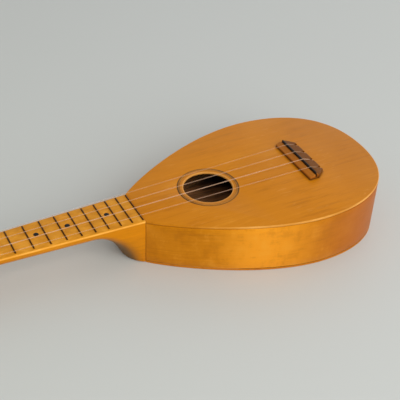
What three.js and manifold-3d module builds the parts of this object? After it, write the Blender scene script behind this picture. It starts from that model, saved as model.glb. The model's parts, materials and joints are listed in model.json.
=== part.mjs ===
import * as THREE from 'three';
import { mergeVertices } from 'three/addons/utils/BufferGeometryUtils.js';
import Module from 'manifold-3d';

// A soprano ukulele with a teardrop body, lying on its back, in millimetres.
// X runs across the body, +Y towards the headstock, +Z up out of the soundboard.
// Pieces are placed from the body joint, on the soundboard's face, and the whole
// is then tipped so that the back lies flat.

// Fits
const fitGap = 0.3;
const runningGap = 0.35;
const dowelGap = 0.5;
const cutOverrun = 5;

// Scale and strings
const scaleLength = 340;
const fretCount = 12;
const saddleSetback = 5.8;
const jointPastFret = 1.3;
const bridgeStringSpacing = 14;
const nutStringSpacing = 9.3;
const stringSides = 6;
const stringNames = ['g', 'c', 'e', 'a'];
const stringDiameters = [0.7, 0.95, 0.85, 0.65];

// Body
const bodyLength = 249;
const bodyWidth = 169;
const widestFromJoint = 154;
const shoulderWidth = 45;
const shoulderAngle = THREE.MathUtils.degToRad(49);
const shoulderHandle = 28;
const upperHandle = 62;
const lowerHandle = 36.5;
const tailHandle = 72;
const outlineLead = 12;
const depthAtNeck = 48;
const depthAtTail = 58.5;
const soundboardThickness = 2.2;
const backThickness = 2.2;
const sideThickness = 2;
const plateEdgeRadius = 0.7;
const curveSteps = 18;

// Soundhole and rosette
const soundholeFromJoint = 74.3;
const soundholeRadius = 23.2;
const rosetteInnerRadius = 26.6;
const rosetteOuterRadius = 29.4;
const rosetteThickness = 0.8;
const roundSteps = 48;

// Blocks, linings and braces
const neckBlockLength = 22;
const neckBlockWidth = 52;
const tailBlockLength = 13;
const tailBlockWidth = 56;
const liningWidth = 4.5;
const liningHeight = 7;
const braceWidth = 6;
const soundboardBraceHeight = 7.5;
const backBraceHeight = 9;
const upperBraceFromJoint = 37;
const lowerBraceFromJoint = 114;
const upperBackBraceFromJoint = 70;
const lowerBackBraceFromJoint = 172;
const bridgePlateLength = 72;
const bridgePlateWidth = 24;
const bridgePlateThickness = 1.8;

// Neck and heel
const neckWidthAtJoint = 44.6;
const neckWidthAtNut = 32;
const neckDepth = 14;
const neckEdge = 2.5;
const heelFoot = 2;
const heelCheekLength = 50;
const heelKeelLength = 46;
const heelKeelDepth = 122;
const heelLift = 1;
const heelSteps = 12;
const sectionSteps = 14;
const heelRoundness = 1.5;
const neckRoundness = 2;
const nutEndRoundness = 5;
const nutEndLength = 18;
const nutEndSteps = 3;
const heelCurvePower = 0.6;
const heelSpacingPower = 1.5;
const dowelRadius = 4;
const dowelLength = 28;
const dowelBelowFace = 15;
const dowelSides = 16;

// Headstock and nut
const headLength = 98;
const headThickness = 9.7;
const headDrop = 2.8;
const headLowerHalf = 27;
const headUpperHalf = 25;
const headFlareLength = 22;
const headCrownLength = 20;
const headShoulderHandle = 9;
const headCrownHandle = 14;
const headPeak = 7;
const headEdgeRadius = 1;
const headCurveSteps = 8;
const nutThickness = 4;
const nutHeight = 2.6;
const nutSlotFloor = 1.5;

// Frets and markers
const fretCrownWidth = 1.7;
const fretCrownHeight = 0.8;
const fretFlankShare = 0.87;
const fretEndInset = 2.4;
const fretTangWidth = 0.5;
const fretTangDepth = 1.4;
const markerSpaces = [5, 7, 10];
const markerRadius = 2.4;
const markerThickness = 1.2;
const markerOffCentre = 1.2;
const markerSides = 24;

// Bridge and saddle
const bridgeLength = 63;
const bridgeWidth = 19.5;
const bridgeFrontFromSaddle = 6.8;
const bridgeFrontHeight = 2.8;
const bridgeHeight = 4.7;
const bridgeRearHeight = 4;
const bridgeEdge = 1.2;
const bridgeCrestLength = 3;
const bridgeCornerAcross = 7.5;
const bridgeCornerAlong = 9;
const saddleThickness = 1.5;
const saddleHeight = 6.9;
const saddleSlotFloor = 1.8;
const saddleEndInset = 1;
const notchLength = 6.7;
const notchFloor = 1.6;
const pocketLength = 3.1;
const pocketHalfWidth = 1.9;
const pocketFloor = 1;
const knotRadius = 1.2;
const knotSides = 10;

// Pegs
const postRadius = 3.4;
const postHeight = 10;
const postCrown = 1.2;
const collarRadius = 6;
const collarFootRadius = 5.2;
const collarHeight = 3;
const stemRadius = 3;
const stemLength = 3;
const thumbWidth = 17;
const thumbHeight = 12;
const thumbThickness = 6;
const thumbEdgeRadius = 1.5;
const pegSides = 16;
const nearPegFromNut = 28;
const farPegFromNut = 66;
const nearPegX = 18.3;
const farPegX = 15.5;
const pegRestTurns = [18, -32, 47, -12].map(THREE.MathUtils.degToRad);

// Windings
const wrapAboveFace = 2.2;
const wrapAngle = THREE.MathUtils.degToRad(285);
const wrapStepAngle = THREE.MathUtils.degToRad(15);
const windingTurns = 2;
const windingGap = 0.5;
const loopSteps = 24;

// Places that follow
const nutY = scaleLength / 2 + jointPastFret;
const saddleY = nutY - scaleLength - saddleSetback;
const bodyTaper = (depthAtTail - depthAtNeck) / bodyLength;
const bridgeFront = saddleY + bridgeFrontFromSaddle;
const bridgeRear = bridgeFront - bridgeWidth;
const fretY = (number) => nutY - scaleLength * (1 - 2 ** (-number / fretCount));
const backFace = (y) => bodyTaper * y - depthAtNeck;
const backInside = (y) => backFace(y) + backThickness;
const soundboardInside = () => -soundboardThickness;
const neckHalf = (y) => THREE.MathUtils.mapLinear(y, 0, nutY, neckWidthAtJoint, neckWidthAtNut) / 2;
const wrapZ = wrapAboveFace - headDrop;
const wrapRadius = (diameter) => postRadius + fitGap + diameter / 2;

const wasm = await Module();
wasm.setup();

// A closed geometry as a solid for cutting and joining
function solid(geometry) {
  const bare = geometry.clone();
  bare.deleteAttribute('normal');
  bare.deleteAttribute('uv');
  const merged = mergeVertices(bare);
  return new wasm.Manifold(new wasm.Mesh({
    numProp: 3,
    vertProperties: Float32Array.from(merged.attributes.position.array),
    triVerts: Uint32Array.from(merged.index.array),
  }));
}

// The geometry of a finished solid
function geometryOf(body) {
  const mesh = body.getMesh();
  const geometry = new THREE.BufferGeometry();
  geometry.setAttribute('position', new THREE.BufferAttribute(Float32Array.from(mesh.vertProperties), 3));
  geometry.setIndex(new THREE.BufferAttribute(Uint32Array.from(mesh.triVerts), 1));
  geometry.computeVertexNormals();
  return geometry;
}

// The part of a closed outline where the given distance is not negative
function keep(points, distance) {
  const kept = [];
  points.forEach((point, index) => {
    const next = points[(index + 1) % points.length];
    const here = distance(point);
    const there = distance(next);
    if (here >= 0) kept.push(point);
    if (here * there < 0) kept.push(point.clone().lerp(next, here / (here - there)));
  });
  return kept;
}

const behind = (limit) => (point) => limit - point.y;
const ahead = (limit) => (point) => point.y - limit;
const rightOf = (limit) => (point) => point.x - limit;
const leftOf = (limit) => (point) => limit - point.x;
const narrowed = (points, half) => keep(keep(points, rightOf(-half)), leftOf(half));
const mirrored = (points) => points.map((point) => new THREE.Vector2(-point.x, point.y)).reverse();

// The right half of the body's outline, set in from the sides' outer face
function halfOutline(inset) {
  const half = bodyWidth / 2;
  const start = new THREE.Vector2(shoulderWidth / 2, 0);
  const lean = new THREE.Vector2(Math.cos(shoulderAngle), -Math.sin(shoulderAngle));
  const upper = new THREE.CubicBezierCurve(
    start,
    start.clone().addScaledVector(lean, shoulderHandle),
    new THREE.Vector2(half, upperHandle - widestFromJoint),
    new THREE.Vector2(half, -widestFromJoint),
  );
  const lower = new THREE.CubicBezierCurve(
    new THREE.Vector2(half, -widestFromJoint),
    new THREE.Vector2(half, -widestFromJoint - lowerHandle),
    new THREE.Vector2(tailHandle, -bodyLength),
    new THREE.Vector2(0, -bodyLength),
  );
  const setIn = (point, tangent) => {
    const inward = new THREE.Vector2(tangent.y, -tangent.x);
    return point.addScaledVector(inward, inset);
  };
  const points = [setIn(start.clone().addScaledVector(lean, -outlineLead), lean)];
  for (const curve of [upper, lower]) {
    for (let step = curve === upper ? 0 : 1; step <= curveSteps; step += 1) {
      const share = step / curveSteps;
      points.push(setIn(curve.getPointAt(share), curve.getTangentAt(share)));
    }
  }
  return points;
}

// The body's whole outline at an inset, anticlockwise, square across the front
function outline(inset) {
  const right = halfOutline(inset);
  return keep([...right, ...mirrored(right).slice(1)].reverse(), behind(0));
}

// The right half of the band between two insets
function halfBand(outer, inner) {
  return [...halfOutline(outer), ...halfOutline(inner).reverse()];
}

// A flat outline raised between two heights that may follow Y
function raised(points, lowAt, highAt) {
  const geometry = new THREE.ExtrudeGeometry(new THREE.Shape(points), { depth: 1, bevelEnabled: false });
  const places = geometry.attributes.position;
  for (let index = 0; index < places.count; index += 1) {
    const y = places.getY(index);
    places.setZ(index, places.getZ(index) > 0 ? highAt(y) : lowAt(y));
  }
  geometry.computeVertexNormals();
  return geometry;
}

// A plate with rounded edges, its upper face at zero
function plate(shape, thickness, radius, rounds) {
  const geometry = new THREE.ExtrudeGeometry(shape, {
    depth: thickness - 2 * radius,
    bevelEnabled: true,
    bevelThickness: radius,
    bevelSize: radius,
    bevelOffset: -radius,
    bevelSegments: rounds,
    curveSegments: roundSteps / 2,
  });
  return geometry.translate(0, 0, radius - thickness);
}

// A turned piece about Z, from pairs of radius and height
function turned(pairs, sides) {
  const profile = pairs.map(([radius, height]) => new THREE.Vector2(radius, height));
  return new THREE.LatheGeometry(profile, sides).rotateX(Math.PI / 2);
}

// A flat ring about Z, or a disc where the inner radius is zero
function ring(inner, outer, low, high, sides) {
  const pairs = [[inner, low], [outer, low], [outer, high], [inner, high]];
  if (inner > 0) pairs.push([inner, low]);
  return turned(pairs, sides);
}

// An upright block between two corners
function block(low, high) {
  const size = high.map((value, axis) => value - low[axis]);
  const middle = high.map((value, axis) => (value + low[axis]) / 2);
  return new THREE.BoxGeometry(...size).translate(...middle);
}

// A profile in Y and Z, carried along X
function acrossX(profile, width) {
  const shape = new THREE.Shape(profile.map(([y, z]) => new THREE.Vector2(y, z)));
  const geometry = new THREE.ExtrudeGeometry(shape, { depth: width, bevelEnabled: false });
  geometry.translate(0, 0, -width / 2);
  const turn = new THREE.Matrix4().set(0, 0, 1, 0, 1, 0, 0, 0, 0, 1, 0, 0, 0, 0, 0, 1);
  return geometry.applyMatrix4(turn);
}

// Rings of points joined one to the next and closed at both ends
function skinned(rings, cap) {
  const count = rings[0].length;
  const places = rings.flat().flatMap((point) => point.toArray());
  const faces = [];
  for (let row = 0; row + 1 < rings.length; row += 1) {
    for (let column = 0; column < count; column += 1) {
      const here = row * count + column;
      const next = row * count + (column + 1) % count;
      faces.push(here, next, next + count, here, next + count, here + count);
    }
  }
  const last = (rings.length - 1) * count;
  for (const [a, b, c] of cap) {
    faces.push(c, b, a, last + a, last + b, last + c);
  }
  const geometry = new THREE.BufferGeometry();
  geometry.setAttribute('position', new THREE.Float32BufferAttribute(places, 3));
  geometry.setIndex(faces);
  geometry.computeVertexNormals();
  return geometry;
}

// A round cord along a list of points, mitred at each bend
function cord(points, radius) {
  const heading = (index) => {
    const before = points[Math.max(index - 1, 0)];
    const after = points[Math.min(index + 1, points.length - 1)];
    const into = points[index].clone().sub(before).normalize();
    const out = after.clone().sub(points[index]).normalize();
    return { into, out, mean: into.clone().add(out).normalize() };
  };
  const first = heading(0).out;
  const isSteep = Math.abs(first.z) * 2 > first.length();
  const reference = isSteep ? new THREE.Vector3(1, 0, 0) : new THREE.Vector3(0, 0, 1);
  const side = reference.cross(first).normalize();
  let previous = first;
  const rings = points.map((point, index) => {
    const { into, out, mean } = heading(index);
    const along = into.lengthSq() > 0 ? into : out;
    side.applyQuaternion(new THREE.Quaternion().setFromUnitVectors(previous, along));
    previous = along;
    const lift = along.clone().cross(side).normalize();
    const ringPoints = [];
    for (let step = 0; step < stringSides; step += 1) {
      const turn = 2 * Math.PI * step / stringSides;
      const spoke = side.clone().multiplyScalar(radius * Math.cos(turn));
      spoke.addScaledVector(lift, radius * Math.sin(turn));
      const slide = spoke.dot(mean) / along.dot(mean);
      ringPoints.push(point.clone().add(spoke).addScaledVector(along, -slide));
    }
    return ringPoints;
  });
  const cap = [];
  for (let step = 1; step + 1 < stringSides; step += 1) {
    cap.push([0, step, step + 1]);
  }
  return skinned(rings, cap);
}

const woods = {
  soundboard: { color: 0xc07a2e, roughness: 0.38, metalness: 0 },
  shell: { color: 0xb87020, roughness: 0.36, metalness: 0 },
  neck: { color: 0xb77f3d, roughness: 0.45, metalness: 0 },
  bare: { color: 0xc9a06a, roughness: 0.75, metalness: 0 },
  bridge: { color: 0x9c5f26, roughness: 0.5, metalness: 0 },
  ring: { color: 0x8a5a2c, roughness: 0.45, metalness: 0 },
  peg: { color: 0x4a2c17, roughness: 0.45, metalness: 0 },
};
const darkPlastic = { color: 0x15120f, roughness: 0.4, metalness: 0 };
const nutPlastic = { color: 0xe8e2d0, roughness: 0.45, metalness: 0 };
const fretMetal = { color: 0x5a4c3a, roughness: 0.4, metalness: 0.8 };
const stringNylon = { color: 0xe9e6dc, roughness: 0.3, metalness: 0 };

const instrument = new THREE.Group();

function add(name, geometry, look) {
  const mesh = new THREE.Mesh(geometry, new THREE.MeshStandardMaterial(look));
  mesh.name = name;
  instrument.add(mesh);
  return mesh;
}

// Soundboard, with the soundhole and the rosette's groove
function makeSoundboard() {
  const shape = new THREE.Shape(outline(0));
  const hole = new THREE.Path();
  hole.absarc(0, -soundholeFromJoint, soundholeRadius, 0, 2 * Math.PI, true);
  shape.holes.push(hole);
  const board = solid(plate(shape, soundboardThickness, plateEdgeRadius, 2));
  const groove = ring(
    rosetteInnerRadius - fitGap,
    rosetteOuterRadius + fitGap,
    -rosetteThickness - fitGap,
    cutOverrun,
    roundSteps,
  ).translate(0, -soundholeFromJoint, 0);
  add('soundboard', geometryOf(board.subtract(solid(groove))), woods.soundboard);
  const inlay = ring(rosetteInnerRadius, rosetteOuterRadius, -rosetteThickness, 0, roundSteps);
  add('rosette_ring', inlay.translate(0, -soundholeFromJoint, 0), woods.ring);
}

// Back plate, which follows the body's taper
function makeBack() {
  const geometry = plate(new THREE.Shape(outline(0)), backThickness, plateEdgeRadius, 1);
  const places = geometry.attributes.position;
  for (let index = 0; index < places.count; index += 1) {
    places.setZ(index, places.getZ(index) + backInside(places.getY(index)));
  }
  geometry.computeVertexNormals();
  add('back', geometry, woods.shell);
}

// A piece made for the right hand side and mirrored for the left
function addPair(name, points, lowAt, highAt, look) {
  add(`${name}_right`, raised(points, lowAt, highAt), look);
  add(`${name}_left`, raised(mirrored(points), lowAt, highAt), look);
}

// Sides, meeting on the centre line at the tail
function makeSides() {
  const band = keep(keep(halfBand(0, sideThickness), behind(0)), rightOf(fitGap / 2));
  const low = (y) => backInside(y) + fitGap;
  const high = () => soundboardInside() - fitGap;
  addPair('side', band, low, high, woods.shell);
}

// Blocks at both ends of the body, and the dowel into the heel
function makeBlocks() {
  const inside = outline(sideThickness + fitGap);
  const low = (y) => backInside(y) + fitGap;
  const high = () => soundboardInside() - fitGap;
  const neckEnd = narrowed(keep(inside, ahead(-neckBlockLength)), neckBlockWidth / 2);
  const tailEnd = narrowed(keep(inside, behind(tailBlockLength - bodyLength)), tailBlockWidth / 2);
  const bored = solid(raised(neckEnd, low, high)).subtract(solid(dowel(dowelGap, fitGap)));
  add('neck_block', geometryOf(bored), woods.bare);
  add('tail_block', raised(tailEnd, low, high), woods.bare);
  add('neck_dowel', dowel(0, 0), woods.bare);
}

// The dowel, or its bore where it is given clearances
function dowel(clearance, endClearance) {
  const radius = dowelRadius + clearance;
  const length = dowelLength + 2 * endClearance;
  const geometry = new THREE.CylinderGeometry(radius, radius, length, dowelSides);
  return geometry.translate(0, 0, -dowelBelowFace);
}

// Linings along the ribs, between the blocks
function makeLinings() {
  const outer = sideThickness + fitGap;
  const ends = [ahead(tailBlockLength - bodyLength + fitGap), behind(-neckBlockLength - fitGap)];
  const band = ends.reduce(keep, halfBand(outer, outer + liningWidth));
  const upper = () => soundboardInside() - fitGap;
  const lower = (y) => backInside(y) + fitGap;
  addPair('soundboard_lining', band, () => upper() - liningHeight, upper, woods.bare);
  addPair('back_lining', band, lower, (y) => lower(y) + liningHeight, woods.bare);
}

// Braces across the plates, and the plate under the bridge
function makeBraces() {
  const inside = outline(sideThickness + liningWidth + 2 * fitGap);
  const strip = (fromJoint) => {
    const front = keep(inside, behind(braceWidth / 2 - fromJoint));
    return keep(front, ahead(-braceWidth / 2 - fromJoint));
  };
  const upper = () => soundboardInside() - fitGap;
  const lower = (y) => backInside(y) + fitGap;
  const under = () => upper() - soundboardBraceHeight;
  const over = (y) => lower(y) + backBraceHeight;
  add('soundboard_brace_upper', raised(strip(upperBraceFromJoint), under, upper), woods.bare);
  add('soundboard_brace_lower', raised(strip(lowerBraceFromJoint), under, upper), woods.bare);
  add('back_brace_upper', raised(strip(upperBackBraceFromJoint), lower, over), woods.bare);
  add('back_brace_lower', raised(strip(lowerBackBraceFromJoint), lower, over), woods.bare);
  const middle = (bridgeFront + bridgeRear) / 2;
  const low = [-bridgePlateLength / 2, middle - bridgePlateWidth / 2, upper() - bridgePlateThickness];
  const high = [bridgePlateLength / 2, middle + bridgePlateWidth / 2, upper()];
  add('bridge_plate', block(low, high), woods.bare);
}

// One cross section of the neck: straight cheeks, then a rounded underside
function neckSection(y, cheek, depth, roundness) {
  const half = neckHalf(y);
  const points = [new THREE.Vector3(half, y, 0)];
  for (let step = 0; step <= sectionSteps; step += 1) {
    const turn = Math.PI * step / sectionSteps;
    const across = Math.sign(Math.cos(turn)) * Math.abs(Math.cos(turn)) ** (2 / roundness);
    const down = Math.abs(Math.sin(turn)) ** (2 / roundness);
    points.push(new THREE.Vector3(half * across, y, -cheek - (depth - cheek) * down));
  }
  points.push(new THREE.Vector3(-half, y, 0));
  return points;
}

// A hollow curve that falls from a height at the start to another at the end
function hollow(high, low, share) {
  const clipped = THREE.MathUtils.clamp(share, 0, 1);
  return low + (high - low) * (1 - clipped ** heelCurvePower) ** (1 / heelCurvePower);
}

// The neck's shaft to the nut, with a heel whose deep keel is cut flat at its foot
function neckShaft() {
  const heelDepth = depthAtNeck - heelLift;
  const endDepth = headDrop + headThickness;
  const heelEnd = heelFoot + heelCheekLength;
  const shaftDepth = (y) => THREE.MathUtils.mapLinear(y, heelEnd, nutY, neckDepth, endDepth);
  const cheekAt = (y) => hollow(heelDepth, neckEdge, (y - heelFoot) / heelCheekLength);
  const keelAt = (y) => hollow(heelKeelDepth, neckDepth, y / heelKeelLength);
  const sections = [neckSection(fitGap, cheekAt(fitGap), keelAt(fitGap), heelRoundness)];
  for (let step = 0; step <= heelSteps; step += 1) {
    const share = (step / heelSteps) ** heelSpacingPower;
    const y = heelFoot + heelCheekLength * share;
    const roundness = THREE.MathUtils.lerp(heelRoundness, neckRoundness, share);
    sections.push(neckSection(y, cheekAt(y), keelAt(y), roundness));
  }
  const end = nutY - fitGap;
  for (let step = 0; step <= nutEndSteps; step += 1) {
    const share = step / nutEndSteps;
    const y = end - nutEndLength * (1 - share);
    const roundness = THREE.MathUtils.lerp(neckRoundness, nutEndRoundness, share ** 2);
    sections.push(neckSection(y, neckEdge, shaftDepth(y), roundness));
  }
  const face = sections[0].map((point) => new THREE.Vector2(point.z, point.x));
  const whole = solid(skinned(sections, THREE.ShapeUtils.triangulateShape(face, [])));
  const below = block(
    [-neckWidthAtJoint, -cutOverrun, -heelKeelDepth - cutOverrun],
    [neckWidthAtJoint, heelEnd, -heelDepth],
  );
  return whole.subtract(solid(below));
}

// The right half of the headstock's outline
function halfHead() {
  const start = nutY - 2 * fitGap;
  const top = nutY + headLength;
  const flareEnd = new THREE.Vector2(headLowerHalf, nutY + headFlareLength);
  const shoulder = new THREE.Vector2(headUpperHalf, top - headCrownLength);
  const flare = new THREE.CubicBezierCurve(
    new THREE.Vector2(neckWidthAtNut / 2, start),
    new THREE.Vector2(neckWidthAtNut / 2, nutY + headFlareLength / 2),
    new THREE.Vector2(headLowerHalf, nutY + headFlareLength / 2),
    flareEnd,
  );
  const crown = new THREE.CubicBezierCurve(
    shoulder,
    new THREE.Vector2(headUpperHalf, shoulder.y + headShoulderHandle),
    new THREE.Vector2(headCrownHandle, top - headPeak),
    new THREE.Vector2(0, top),
  );
  return [...flare.getPoints(headCurveSteps), ...crown.getPoints(headCurveSteps)];
}

// Where each peg stands, in the order of the strings
function pegPlaces() {
  return stringNames.map((name, index) => {
    const middle = (stringNames.length - 1) / 2;
    const isOuter = Math.abs(index - middle) > 1;
    const x = Math.sign(index - middle) * (isOuter ? nearPegX : farPegX);
    return new THREE.Vector2(x, nutY + (isOuter ? nearPegFromNut : farPegFromNut));
  });
}

// The headstock, with a bore for each peg
function headstock() {
  const right = halfHead();
  const shape = new THREE.Shape([...right, ...mirrored(right).slice(1)]);
  const slab = plate(shape, headThickness, headEdgeRadius, 1).translate(0, 0, -headDrop);
  const boreRadius = (postRadius + runningGap) / Math.cos(Math.PI / pegSides);
  const low = -headDrop - headThickness - cutOverrun;
  const bore = ring(0, boreRadius, low, cutOverrun, pegSides);
  const bores = pegPlaces().map(({ x, y }) => solid(bore.clone().translate(x, y, 0)));
  return bores.reduce((body, cut) => body.subtract(cut), solid(slab));
}

// A fret's section, or its slot where it is given a clearance
function fretTang(number, clearance, high) {
  const y = fretY(number);
  const half = fretTangWidth / 2 + clearance;
  const length = 2 * (neckHalf(y) - fretEndInset + clearance);
  return acrossX([
    [y - half, -fretTangDepth - clearance],
    [y + half, -fretTangDepth - clearance],
    [y + half, high],
    [y - half, high],
  ], length);
}

// Middle of a fret space
const spaceY = (number) => (fretY(number) + fretY(number - 1)) / 2;

function makeNeck() {
  let body = neckShaft().add(headstock());
  body = body.subtract(solid(dowel(dowelGap, fitGap)));
  for (let number = 1; number <= fretCount; number += 1) {
    body = body.subtract(solid(fretTang(number, fitGap, cutOverrun)));
  }
  for (const number of markerSpaces) {
    const pocket = ring(0, markerRadius + fitGap, -markerThickness - fitGap, cutOverrun, markerSides);
    body = body.subtract(solid(pocket.translate(markerOffCentre, spaceY(number), 0)));
  }
  add('neck', geometryOf(body), woods.neck);
}

function twoDigits(number) {
  return String(number).padStart(2, '0');
}

// Frets with a rounded crown on a tang
function makeFrets() {
  for (let number = 1; number <= fretCount; number += 1) {
    const y = fretY(number);
    const half = fretCrownWidth / 2;
    const tang = fretTangWidth / 2;
    const top = fitGap + fretCrownHeight;
    const shoulder = fitGap + fretCrownHeight / 2;
    const profile = [
      [y - tang, -fretTangDepth],
      [y + tang, -fretTangDepth],
      [y + tang, fitGap],
      [y + half, fitGap],
      [y + half * fretFlankShare, shoulder],
      [y + half / 2, top],
      [y - half / 2, top],
      [y - half * fretFlankShare, shoulder],
      [y - half, fitGap],
      [y - tang, fitGap],
    ];
    add(`fret_${twoDigits(number)}`, acrossX(profile, 2 * (neckHalf(y) - fretEndInset)), fretMetal);
  }
  for (const number of markerSpaces) {
    const disc = ring(0, markerRadius, -markerThickness, 0, markerSides);
    add(`marker_${twoDigits(number)}`, disc.translate(markerOffCentre, spaceY(number), 0), darkPlastic);
  }
}

// Where a string crosses, for a spacing
const stringX = (index, spacing) => (index - (stringNames.length - 1) / 2) * spacing;

// Nut, with one slot for each string
function makeNut() {
  const half = neckWidthAtNut / 2;
  const bar = block([-half, nutY, fitGap - headDrop], [half, nutY + nutThickness, nutHeight]);
  let body = solid(bar);
  stringDiameters.forEach((diameter, index) => {
    const x = stringX(index, nutStringSpacing);
    const slotHalf = diameter / 2 + fitGap;
    const low = [x - slotHalf, nutY - cutOverrun, nutSlotFloor];
    const high = [x + slotHalf, nutY + nutThickness + cutOverrun, nutHeight + cutOverrun];
    body = body.subtract(solid(block(low, high)));
  });
  add('nut', geometryOf(body), nutPlastic);
}

// Bridge, its rear corners cut off, with the saddle's slot and the strings' notches and knot pockets
function makeBridge() {
  const slotHalf = saddleThickness / 2 + fitGap;
  const crestFront = saddleY + slotHalf + bridgeEdge;
  const crestRear = saddleY - slotHalf - bridgeCrestLength;
  let body = solid(acrossX([
    [bridgeRear, fitGap],
    [bridgeFront, fitGap],
    [bridgeFront, bridgeFrontHeight],
    [bridgeFront - bridgeEdge, bridgeFrontHeight + bridgeEdge / 2],
    [crestFront, bridgeHeight],
    [crestRear, bridgeHeight],
    [bridgeRear + bridgeEdge, bridgeRearHeight],
    [bridgeRear, bridgeRearHeight - bridgeEdge],
  ], bridgeLength));
  const half = bridgeLength / 2;
  const corner = [
    new THREE.Vector2(half - 2 * bridgeCornerAcross, bridgeRear - bridgeCornerAlong),
    new THREE.Vector2(half + bridgeCornerAcross, bridgeRear - bridgeCornerAlong),
    new THREE.Vector2(half + bridgeCornerAcross, bridgeRear + 2 * bridgeCornerAlong),
  ];
  for (const points of [corner, mirrored(corner)]) {
    const wedge = raised(points, () => 0, () => bridgeHeight + cutOverrun);
    body = body.subtract(solid(wedge));
  }
  const slotLow = [-bridgeLength, saddleY - slotHalf, saddleSlotFloor];
  const slotHigh = [bridgeLength, saddleY + slotHalf, bridgeHeight + cutOverrun];
  body = body.subtract(solid(block(slotLow, slotHigh)));
  stringDiameters.forEach((diameter, index) => {
    const x = stringX(index, bridgeStringSpacing);
    const notch = acrossX([
      [bridgeRear + notchLength, bridgeRearHeight],
      [bridgeRear + notchLength, bridgeHeight + cutOverrun],
      [bridgeRear - cutOverrun, bridgeHeight + cutOverrun],
      [bridgeRear - cutOverrun, notchFloor],
      [bridgeRear + pocketLength, notchFloor],
    ], diameter + 2 * fitGap).translate(x, 0, 0);
    const low = [x - pocketHalfWidth, bridgeRear - cutOverrun, pocketFloor];
    const high = [x + pocketHalfWidth, bridgeRear + pocketLength, bridgeHeight + cutOverrun];
    body = body.subtract(solid(notch)).subtract(solid(block(low, high)));
  });
  add('bridge', geometryOf(body), woods.bridge);
  const saddleHalf = half - saddleEndInset;
  const low = [-saddleHalf, saddleY - saddleThickness / 2, saddleSlotFloor + fitGap];
  const high = [saddleHalf, saddleY + saddleThickness / 2, saddleHeight];
  add('saddle', block(low, high), darkPlastic);
}

// Where a string touches its turns on the post, and which way it winds
function tangentOn(post, from, radius) {
  const away = from.clone().sub(post);
  const hand = Math.sign(post.x);
  const turn = away.angle() - hand * Math.acos(radius / away.length());
  return { turn, hand };
}

// A string from its knot, over the saddle and nut, to its first turn on the post
function makeString(index, post) {
  const radius = stringDiameters[index] / 2;
  const bridgeX = stringX(index, bridgeStringSpacing);
  const nutX = stringX(index, nutStringSpacing);
  const lift = radius + fitGap;
  const seat = knotRadius + fitGap;
  const knot = new THREE.Vector3(bridgeX, bridgeRear + pocketLength - seat, pocketFloor + seat);
  const notchMouth = new THREE.Vector3(bridgeX, bridgeRear + notchLength, bridgeHeight + lift);
  const overSaddle = new THREE.Vector3(bridgeX, saddleY, saddleHeight + lift);
  const nutFront = new THREE.Vector3(nutX, nutY, nutSlotFloor + lift);
  const nutRear = new THREE.Vector3(nutX, nutY + nutThickness, nutSlotFloor + lift);
  const around = wrapRadius(2 * radius);
  const { turn, hand } = tangentOn(post, new THREE.Vector2(nutRear.x, nutRear.y), around);
  const points = [knot, notchMouth, overSaddle, nutFront, nutRear];
  const steps = Math.round(wrapAngle / wrapStepAngle);
  for (let step = 0; step <= steps; step += 1) {
    const angle = turn - hand * wrapAngle * step / steps;
    const x = post.x + around * Math.cos(angle);
    const y = post.y + around * Math.sin(angle);
    points.push(new THREE.Vector3(x, y, wrapZ));
  }
  const ball = new THREE.SphereGeometry(knotRadius, knotSides, knotSides / 2);
  const whole = solid(cord(points, radius)).add(solid(ball.translate(...knot.toArray())));
  add(`string_${stringNames[index]}`, geometryOf(whole), stringNylon);
}

// The turns on a peg, one unbroken tube that ends in the post's hole
function windingPoints(diameter, hand) {
  const around = wrapRadius(diameter);
  const pitch = diameter + windingGap;
  const low = headThickness + wrapAboveFace + pitch;
  const points = [];
  const steps = windingTurns * loopSteps;
  for (let step = 0; step <= steps; step += 1) {
    const angle = hand * 2 * Math.PI * (windingTurns - step / loopSteps);
    const height = low + pitch * step / loopSteps;
    points.push(new THREE.Vector3(around * Math.cos(angle), around * Math.sin(angle), height));
  }
  const start = points[0].clone().sub(points[1]).setZ(0).setLength(diameter);
  points.unshift(points[0].clone().add(start));
  const end = points[points.length - 1].clone();
  end.x = postRadius - diameter;
  points.push(end);
  return points;
}

// Least gap between the turns, measured on points half a turn or more apart
function leastGap(points, diameter) {
  let least = Infinity;
  for (let first = 0; first < points.length; first += 1) {
    for (let second = first + loopSteps / 2; second < points.length; second += 1) {
      least = Math.min(least, points[first].distanceTo(points[second]) - diameter);
    }
  }
  return least;
}

// The post's hole for the string's end
function stringHole(diameter) {
  const pitch = diameter + windingGap;
  const height = headThickness + wrapAboveFace + pitch * (windingTurns + 1);
  const radius = diameter / 2 + fitGap + fitGap / 2;
  const bore = new THREE.CylinderGeometry(radius, radius, 2 * postRadius, loopSteps / 2);
  return bore.rotateZ(Math.PI / 2).translate(postRadius, 0, height);
}

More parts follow.
